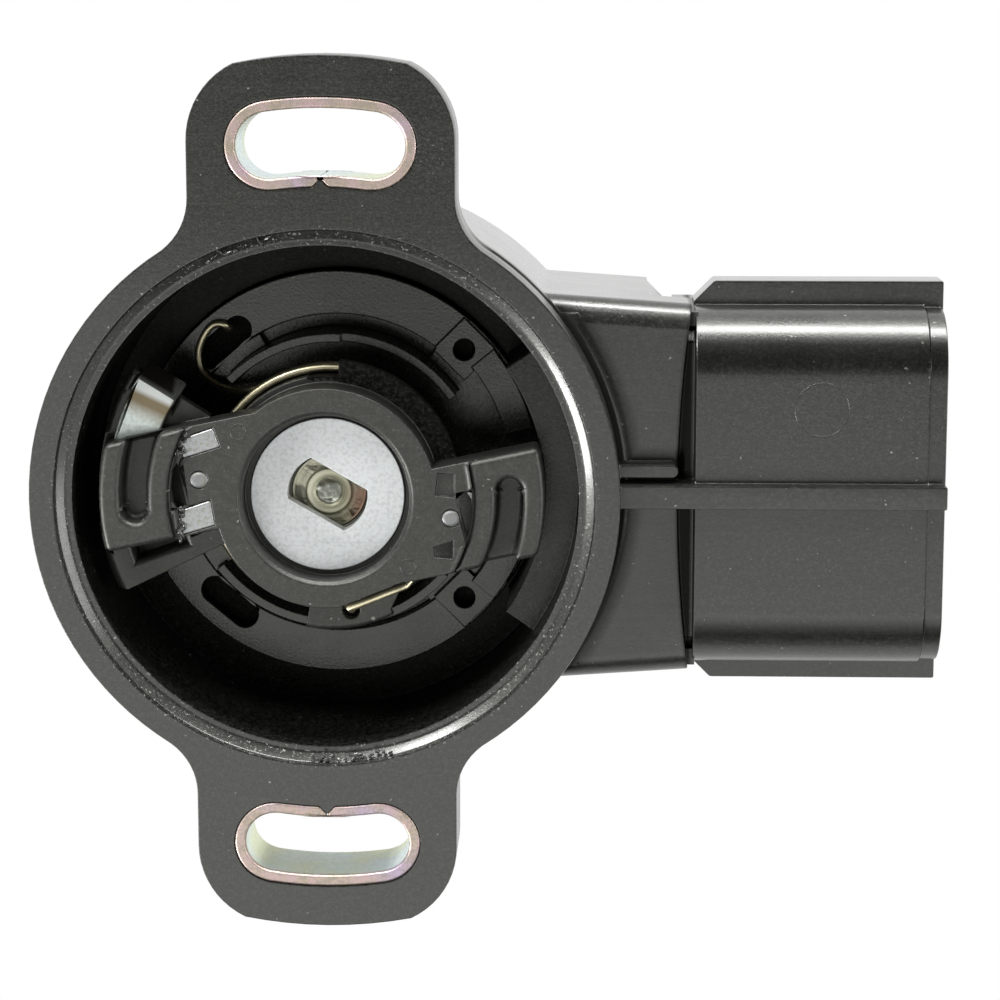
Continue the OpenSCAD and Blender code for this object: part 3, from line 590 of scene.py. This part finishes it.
def neck_web(name, low, high):
    """A web between the neck and the connector, from low to high in y."""
    left, right = 25.2, 26.8
    corners = [(left, low), (right, low), (right, high), (left, high)]
    return block(name, [(x, y, -18.4, -6.2) for x, y in corners])


marks = [
    neck_web("neck_web_top", 12.0, 13.0),
    neck_web("neck_web_bottom", -13.2, -12.0),
    flash("mouth_flash_top", at_mouth(100, 115, 19.0, 11), 0.1),
    flash("mouth_flash_bottom", at_mouth(-93, -76, 18.95, 13), 0.1),
    pin_mark("connector_pin_mark", (35.7, 6.24, -3.7), 1.95, 0.04),
]
for mark in marks:
    mark.data.materials.append(housing.data.materials[0])
    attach(mark, "body")


# Slot bushings
# Rolled steel with a yellow and violet passivated finish, rounded at both rims.
def passivated_steel():
    m = material("passivated_steel")
    height = m.place().axis("Z")
    patch = m.noise(700, 3, 0.6)
    grain = m.noise(4200, 3, 0.6)
    ring = m.noise(160, 2, 0.5)
    rim = m.mix(patch.ramp(0.35, 0.65), (0.40, 0.28, 0.28), (0.43, 0.36, 0.26))
    rim = m.mix(ring.ramp(0.52, 0.7), rim, (0.38, 0.30, 0.44))
    wall = m.mix(ring.ramp(0.4, 0.6), (0.80, 0.86, 0.58), (0.74, 0.86, 0.86))
    on_rim = height.ramp(-0.0006, -0.0002)
    worn = (grain * 0.6 + patch * 0.5).ramp(0.48, 0.64) * on_rim * 0.65
    base = m.mix(on_rim, wall, rim)
    base = m.mix(grain.ramp(0.35, 0.75) * 0.4, base, (0.55, 0.52, 0.50))
    base = m.mix(worn, base, (0.22, 0.19, 0.17))
    return m.finish(
        Base_Color=base,
        Metallic=1.0,
        Roughness=grain * 0.25 + on_rim * 0.15 + 0.22,
        Normal=m.bump(grain, 0.4, 0.03),
    )


passivated = passivated_steel()
for side in ("upper", "lower"):
    bushing = copy_of(side + "_slot_bushing", side + "_slot_sleeve", 0.04)
    soften(bushing, 0.2, 3)
    stand_in(bushing, side + "_slot_bushing", passivated)


# Stator base
# A glossy black disc with a rib round the spring, pressed into the cup's floor. Its tab
# holes and the pockets for the hook get a dull black inside as painted shade.
base_skin = black_plastic(material("base_gloss_black"), 0.007, 0.2, 0.2, 0.25, 0.55)
base = copy_of("stator_base", "stator_base_moulding", 0.03)
soften(base, 0.12)
stand_in(base, "stator_base", base_skin)
# Painted shade: the tab holes and the hook's pockets get this dull black inside.
hollow_painted_shade = black_plastic(material("hollow_painted_shade"), 0.002, 0.5, 0, 0.1, 0.05)
base.data.materials.append(hollow_painted_shade)
HOLLOW_SHADE = 1
disc_top = -13.05
tab_holes, tab_hole_r = (Vector((9.54, 9.48)), Vector((9.54, -9.48))), 0.9
pocket_turns, pocket_reach, pocket_r = (131, 230), 16, 12.0
for face in base.data.polygons:
    centre = face.center / MM
    turn = math.degrees(math.atan2(centre.y, centre.x)) % 360
    in_hole = min((centre.xy - hole).length for hole in tab_holes) < tab_hole_r
    by_pocket = min(abs(turn - middle) for middle in pocket_turns) < pocket_reach
    in_pocket = by_pocket and centre.xy.length > pocket_r
    if (in_hole or in_pocket) and centre.z < disc_top:
        face.material_index = HOLLOW_SHADE


# Rotor
# A matte black moulding with two slotted wings. The right wing has two shallow recesses and
# a filled root, the hub is notched beside the spring's end, and the pads' edges are melted.
rotor_skin = black_plastic(material("rotor_matte_black"), 0.010, 0.42, 0.1)
hub_z = -1.0
upper_cut = [(7.9, 0.3), (9.3, 0.17), (9.3, 1.8), (8.1, 1.95)]
lower_cut = [(7.76, -3.5, 0.22), (7.9, -4.2, 0.22), (9.2, -4.3, 0.4), (9.2, -3.0, 0.6)]
wire_notch = [(0.14, -8.28), (0.47, -9.1), (6.03, -6.83), (5.7, -6.02)]
cuts = [
    block("upper_cut", [(x, y, hub_z - 0.3, 0) for x, y in upper_cut]),
    block("lower_cut", [(x, y, hub_z - depth, 0) for x, y, depth in lower_cut]),
    block("wire_notch", [(x, y, hub_z - 2.4, 0) for x, y in wire_notch]),
]
rotor = copy_of("rotor", "rotor_moulding", cuts=cuts)
wing_r, wing_low = 10.2, -4.5
soften(rotor, 0.45, 4, wide=lambda place: place.xy.length > wing_r and place.z > wing_low)
stand_in(rotor, "rotor", rotor_skin)
rotor.data.materials.append(hollow_painted_shade)
# Painted shade: the shelf round the hub on the spring's side gets the dull black of the hollows.
shelf_inner, shelf_outer, shelf_top = 8.2, 10.9, -1.7
for face in rotor.data.polygons:
    centre = face.center / MM
    turn = math.degrees(math.atan2(centre.y, centre.x))
    on_shelf = shelf_inner < centre.xy.length < shelf_outer and centre.z < shelf_top
    if on_shelf and -5 < turn < 100:
        face.material_index = HOLLOW_SHADE
fill_corners = [
    (9.5, 0.7, 0.05),
    (9.75, -3.3, 0.05),
    (10.5, -3.0, 0.35),
    (10.8, -1.3, 0.35),
    (10.6, 0.9, 0.35),
]
fill_places = [(x, y, hub_z - 1.2, hub_z - depth) for x, y, depth in fill_corners]
root_fill = block("wing_root_fill", fill_places)
root_fill.data.materials.append(rotor_skin)
melted_skin = black_plastic(material("melted_gloss_black"), 0.012, 0.16, 0.1, 0.6, 0.5, 0.8)
smears = []
smear_steps = 6
for name, start, end in (
    ("upper_pad_smear", (-10.75, 2.75), (-10.0, 4.5)),
    ("lower_pad_smear", (-10.45, -3.0), (-10.3, -0.9)),
):
    places = []
    for i in range(smear_steps + 1):
        x = start[0] + (end[0] - start[0]) * i / smear_steps
        y = start[1] + (end[1] - start[1]) * i / smear_steps
        places.append((x + 0.12 * math.sin(i * 2.6), y, hub_z))
    smear = flash(name, places, 0.15)
    bpy.ops.object.shade_smooth()
    smear.data.materials.append(melted_skin)
    smears.append(smear)
for piece in (root_fill, *smears):
    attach(piece, "rotor")

# Return spring
# Gold-toned spring wire: a hook held in the base, turns round the rotor's skirt, and an
# end that lies over the rotor's lug.
wire_d = 0.59
coil_r = 8.9
coil_start = 125
coil_sweep = 887
coil_low = -7.325
coil_high = -5.6
end_z = -3.76
hook_z = -12.16
hook_points = [
    (-8.2, 10.95, hook_z - 1.04),
    (-8.22, 10.98, hook_z - 0.24),
    (-8.5, 11.3, hook_z + 0.05),
    (-9.2, 11.3, hook_z),
    (-9.8, 10.75, hook_z),
    (-10.3, 9.75, hook_z),
    (-10.45, 8.8, hook_z),
    (-10.25, 7.9, hook_z + 0.05),
    (-9.65, 7.25, hook_z + 0.5),
    (-8.8, 6.85, hook_z + 1.4),
    (-7.6, 6.7, hook_z + 2.8),
    (-6.5, 6.85, hook_z + 3.9),
]
coil_steps = 145
coil_points = []
for step in range(coil_steps + 1):
    share = step / coil_steps
    turn = math.radians(coil_start - coil_sweep * share)
    height = coil_low + (coil_high - coil_low) * share
    coil_points.append(Vector((coil_r * math.cos(turn), coil_r * math.sin(turn), height)))
end_points = [
    (5.6, -6.87, end_z),
    (1.85, -8.4, end_z),
    (1.65, -8.55, end_z - 0.2),
    (1.55, -8.85, end_z - 0.84),
]


def metal(name, colour, rough, grain_scale=2400, bump=0.1):
    m = material(name)
    grain = m.noise(grain_scale, 3, 0.6)
    cloud = m.noise(300, 2, 0.5)
    darker = tuple(c * 0.82 for c in colour)
    base = m.mix(cloud.ramp(0.3, 0.7), darker, colour)
    base = m.mix(grain.ramp(0.35, 0.7) * 0.5, base, colour)
    return m.finish(
        Base_Color=base,
        Metallic=1.0,
        Roughness=(grain * 0.2 + (rough - 0.1)).ramp(0.0, 1.0),
        Normal=m.bump(grain, bump, 0.02),
    )


def smooth_path(points, steps=4):
    """Points along a curve that passes smoothly through those given."""
    places = [Vector(p) for p in points]
    path = []
    for i in range(len(places) - 1):
        before = places[max(i - 1, 0)]
        a, b = places[i], places[i + 1]
        after = places[min(i + 2, len(places) - 1)]
        for step in range(steps):
            t = step / steps
            bend = (2 * before - 5 * a + 4 * b - after) * t**2
            twist = (3 * a - before - 3 * b + after) * t**3
            path.append(0.5 * (2 * a + (b - before) * t + bend + twist))
    return path + [places[-1]]


def wire_tube(name, path, diameter):
    """A round wire along a path, with closed ends."""
    curve = bpy.data.curves.new(name, "CURVE")
    curve.dimensions = "3D"
    curve.bevel_depth = diameter / 2 * MM
    curve.bevel_resolution = 3
    curve.use_fill_caps = True
    line = curve.splines.new("POLY")
    line.points.add(len(path) - 1)
    for point, place in zip(line.points, path):
        point.co = (*(place * MM), 1)
    wire = bpy.data.objects.new(name, curve)
    bpy.context.collection.objects.link(wire)
    bpy.ops.object.select_all(action="DESELECT")
    bpy.context.view_layer.objects.active = wire
    wire.select_set(True)
    bpy.ops.object.convert(target="MESH")
    bpy.ops.object.shade_smooth_by_angle(angle=math.radians(60))
    return bpy.context.object


gold_wire = metal("gold_spring_wire", (0.60, 0.55, 0.37), 0.38, 3000, 0.05)
path = smooth_path(hook_points) + coil_points + smooth_path(end_points, 3)
spring = wire_tube("spring_wire", path, wire_d)
spring.data.materials.append(gold_wire)
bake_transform(spring)
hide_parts("return_spring")


# Drive plate
# A bright disc of zinc-plated sheet steel in the hub, with a double-D hole. The plating is
# mottled in pale tints, with faint scratches and a fine grain.
def zinc_plate(name, tone, speckle):
    """A material with a plating's colour and its fine grain."""
    m = material(name)

    def toned(*colour):
        return tuple(c * tone for c in colour)

    fine = m.noise(3800, 3, 0.65)
    cloud = m.noise(330, 3, 0.5)
    tint = m.noise(180, 2, 0.5)
    scratches = m.noise(2600, 2, 0.5, m.stretched(0.03, 1.0, 1.0, 35)).ramp(0.62, 0.70)
    across = m.noise(2300, 2, 0.5, m.stretched(1.0, 0.03, 1.0, 20)).ramp(0.64, 0.72)
    scratched = (scratches + across).ramp(0.0, 1.0) * 0.3
    base = m.mix(cloud.ramp(0.35, 0.7) * 0.35, toned(0.95, 0.98, 0.98), toned(0.84, 0.92, 0.93))
    base = m.mix(tint.ramp(0.52, 0.66) * 0.35, base, toned(0.98, 0.92, 0.95))
    base = m.mix(scratched, base, toned(0.66, 0.72, 0.76))
    base = m.mix(fine.ramp(0.46, 0.66) * speckle, base, (0.20, 0.19, 0.14))
    return m, base, fine


m, base_tone, fine = zinc_plate("zinc_disc", 0.57, 0.25)
zinc = m.finish(
    Base_Color=base_tone,
    Metallic=0.8,
    Roughness=fine * 0.2 + 0.42,
    Normal=m.bump(fine, 0.15, 0.02),
)
drive_plate = copy_of("drive_plate", "drive_disc")
soften(drive_plate, 0.1)
stand_in(drive_plate, "drive_plate", zinc)

# Lever insert
# A zinc-plated strip whose two pads lie in the left wing. Its bent tang has light and shade
# painted on: clean plating, then a painted brown shade, then a painted pale highlight band,
# and painted dark shade at its low end.
m, base_tone, fine = zinc_plate("zinc_strip", 0.32, 0.7)
place = m.place()
x, y, height = (place.axis(name) for name in "XYZ")
along = x * 0.42 + y * 0.906
on_tang = along.ramp(-0.0032, -0.0026) * (1.0 - x.ramp(-0.0113, -0.0110))
clean = m.mix(fine.ramp(0.45, 0.7) * 0.5, (0.52, 0.57, 0.54), (0.28, 0.29, 0.24))
# Painted shade and light along the tang: a brown painted shade, then a pale painted highlight
# band, and painted dark shade at the low end.
painted_brown_shade = m.mix(along.ramp(-0.0008, 0.0004), clean, (0.16, 0.13, 0.08))
painted_highlight_band = m.mix(along.ramp(0.0009, 0.0013), painted_brown_shade, (0.45, 0.47, 0.45))
shade_end = m.mix(height.ramp(-0.0036, -0.0030), (0.035, 0.03, 0.022), painted_highlight_band)
strip = m.finish(
    Base_Color=m.mix(on_tang, base_tone, shade_end),
    Metallic=0.85,
    Roughness=fine * 0.2 + 0.3,
    Normal=m.bump(fine, 0.35, 0.03),
)
insert = copy_of("lever_insert", "lever_strip")
soften(insert, 0.16, 3)
stand_in(insert, "lever_insert", strip)

# Rivets
# Two domed heads of dull zinc-plated steel, one in each wing, a little wider than the
# solids' plain pins.
m, base_tone, fine = zinc_plate("zinc_rivet", 0.2, 0.6)
rivet_skin = m.finish(
    Base_Color=base_tone,
    Metallic=0.8,
    Roughness=fine * 0.3 + 0.4,
    Normal=m.bump(fine, 0.5, 0.05),
)
wider_x, wider_y = 0.25, 0.08
for side in ("left", "right"):
    rivet = copy_of(side + "_rivet", side + "_rivet_head")
    middle = sum((v.co for v in rivet.data.vertices), Vector()) / len(rivet.data.vertices)
    for vertex in rivet.data.vertices:
        vertex.co.x += (vertex.co.x - middle.x) * wider_x
        vertex.co.y += (vertex.co.y - middle.y) * wider_y
    soften(rivet, 0.45, 5)
    stand_in(rivet, side + "_rivet", rivet_skin)

# Hub marks
# The faint rings that two ejector pins leave on the rotor's hub, sunk into its face a little
# so that only their tops show.
for name, x, y in (("hub_pin_mark_left", -6.15, 4.86), ("hub_pin_mark_right", 5.98, -4.91)):
    mark = pin_mark(name, (x, y, hub_z - 0.01), 0.56, 0.055)
    mark.data.materials.append(rotor_skin)
    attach(mark, "rotor")

# Shaft
# Turned steel under the plate's hole: fine rings, and a warmer patch on the right, with
# painted light on its left side and a painted pale light in the recess in the middle, less a
# painted shadow at the recess's upper side. A shoulder round the shaft's end fills the
# hole's corners.
m = material("turned_steel")
x, y, _, radius = in_mm(m)
rings = (radius * 13 + m.noise(500, 2, 0.5) * 3).maths("SINE").ramp(-0.6, 1.0)
# Painted light on the left side, and painted light in the recess less a painted shadow at its
# upper side.
painted_light_side = (y * 0.35 - x * 0.9).ramp(-1.1, 1.6)
fine = m.noise(2600, 3, 0.6)
in_recess = 1.0 - radius.ramp(0.82, 0.9)
recess_painted_light = in_recess * (1.0 - (y - x * 0.2).ramp(0.35, 0.6))
cream = m.mix((rings * 0.35 + painted_light_side * 0.75).ramp(0.1, 0.95), (0.20, 0.195, 0.13), (0.56, 0.55, 0.42))
cream = m.mix(recess_painted_light, cream, (0.92, 0.94, 0.82))
pinkish = m.mix(x.ramp(1.1, 2.2) * (1.0 - y.ramp(-0.2, 0.9)) * 0.8, cream, (0.30, 0.17, 0.12))
turned = m.finish(
    Base_Color=pinkish,
    Metallic=0.7,
    Roughness=fine * 0.2 + in_recess * 0.2 + 0.36,
    Normal=m.bump(rings * 0.6 + fine * 0.4, 0.25, 0.04),
)
shoulder_r, shoulder_t = 2.72, 0.3
shaft_top = max(v.co.z for v in nodes["rotor_shaft"].data.vertices)
bpy.ops.object.select_all(action="DESELECT")
bpy.ops.mesh.primitive_cylinder_add(
    vertices=64,
    radius=shoulder_r * MM,
    depth=shoulder_t * MM,
    location=(0, 0, shaft_top - shoulder_t * MM),
)
shoulder = bpy.context.object
shoulder.name = "shaft_shoulder"
bpy.ops.object.transform_apply(location=True, rotation=True, scale=True)
soften(shoulder, 0.08)
shoulder.data.materials.append(turned)
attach(shoulder, "rotor")

# Pieces inside
# The bearing parts, wipers, board, terminals and back keep their solids' meshes, and only
# get a finish each.
bronze = metal("sintered_bronze", (0.5, 0.36, 0.2), 0.5)
contact = metal("contact_strip", (0.8, 0.64, 0.32), 0.3)
tinned = metal("tinned_blade", (0.72, 0.71, 0.68), 0.35)
board = black_plastic(material("pale_laminate"), 0.5, 0.5)
ink = black_plastic(material("carbon_ink"), 0.02, 0.6)
resin = black_plastic(material("potting_resin"), 0.01, 0.15)
finish_of = {
    "rotor_shaft": turned,
    "thrust_washer": turned,
    "shaft_clip": turned,
    "bearing_bush": bronze,
    "wiper_carrier": rotor_skin,
    "signal_wiper": contact,
    "idle_wiper": contact,
    "idle_contact": contact,
    "resistor_board": board,
    "signal_track": ink,
    "collector_track": ink,
    **{f"terminal_{i}": tinned for i in range(1, 5)},
    "back_cover": base_skin,
    "potting_seal": resin,
}
for name, skin in finish_of.items():
    nodes[name].data.materials.clear()
    nodes[name].data.materials.append(skin)
